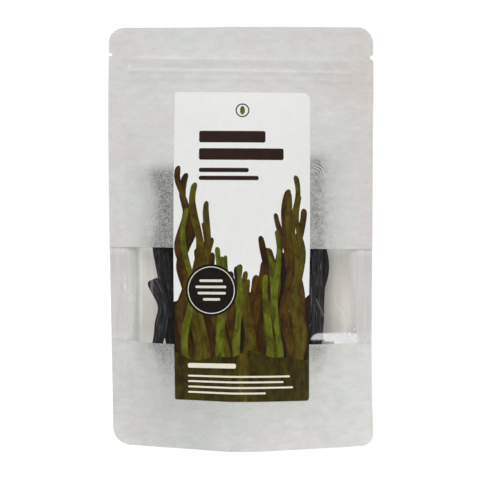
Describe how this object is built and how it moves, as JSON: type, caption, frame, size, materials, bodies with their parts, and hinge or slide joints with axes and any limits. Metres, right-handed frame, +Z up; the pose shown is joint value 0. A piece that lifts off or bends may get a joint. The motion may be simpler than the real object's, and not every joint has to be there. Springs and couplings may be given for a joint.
{
  "type": "stand-up pouch of dried sea spaghetti seaweed",
  "caption": "Upright white paper stand-up pouch with a clear window band, press zipper, tear notches, bottom gusset and tall label, filled with dried seaweed strands.",
  "frame": {"origin": "on the floor under the middle of the pouch's foot", "axes": "+X to the right across the front, +Y from the labelled front to the back, +Z up to the top seal"},
  "size_m": [0.161, 0.0303, 0.255],
  "materials": {
    "rice_paper": "matt white paper with fine laid lines, laminated on a clear film",
    "back_paper": "matt white paper with fine laid lines",
    "gusset_film": "matt white paper on film, folded",
    "window_film": "clear glossy film",
    "label_paper": "smooth coated label paper",
    "zipper_plastic": "translucent pressed plastic",
    "seaweed": "dry, leathery, near-black with a pale salt bloom"
  },
  "bodies": {
    "root": {"back_panel": "back_paper", "bottom_gusset": "gusset_film", "front_paper_lower": "rice_paper", "front_paper_upper": "rice_paper", "label": "label_paper", "window_film": "window_film", "zipper_back": "zipper_plastic", "zipper_front": "zipper_plastic", "strand_back_01": "seaweed", "strand_back_02": "seaweed", "strand_back_03": "seaweed", "strand_back_04": "seaweed", "strand_back_05": "seaweed", "strand_back_06": "seaweed", "strand_back_07": "seaweed", "strand_back_08": "seaweed", "strand_back_09": "seaweed", "strand_front_01": "seaweed", "strand_front_02": "seaweed", "strand_front_03": "seaweed", "strand_front_04": "seaweed", "strand_front_05": "seaweed", "strand_front_06": "seaweed", "strand_front_07": "seaweed", "strand_front_08": "seaweed", "strand_front_09": "seaweed", "strand_front_10": "seaweed", "strand_left_lower": "seaweed", "strand_left_upper": "seaweed", "strand_middle_01": "seaweed", "strand_middle_02": "seaweed", "strand_middle_03": "seaweed", "strand_middle_04": "seaweed", "strand_middle_05": "seaweed", "strand_middle_06": "seaweed", "strand_middle_07": "seaweed", "strand_middle_08": "seaweed", "strand_middle_09": "seaweed", "strand_middle_10": "seaweed", "strand_middle_11": "seaweed", "strand_middle_12": "seaweed", "strand_middle_13": "seaweed", "strand_middle_14": "seaweed", "strand_middle_15": "seaweed", "strand_middle_16": "seaweed", "strand_right_bowed": "seaweed", "strand_right_long": "seaweed"}
  },
  "joints": []
}
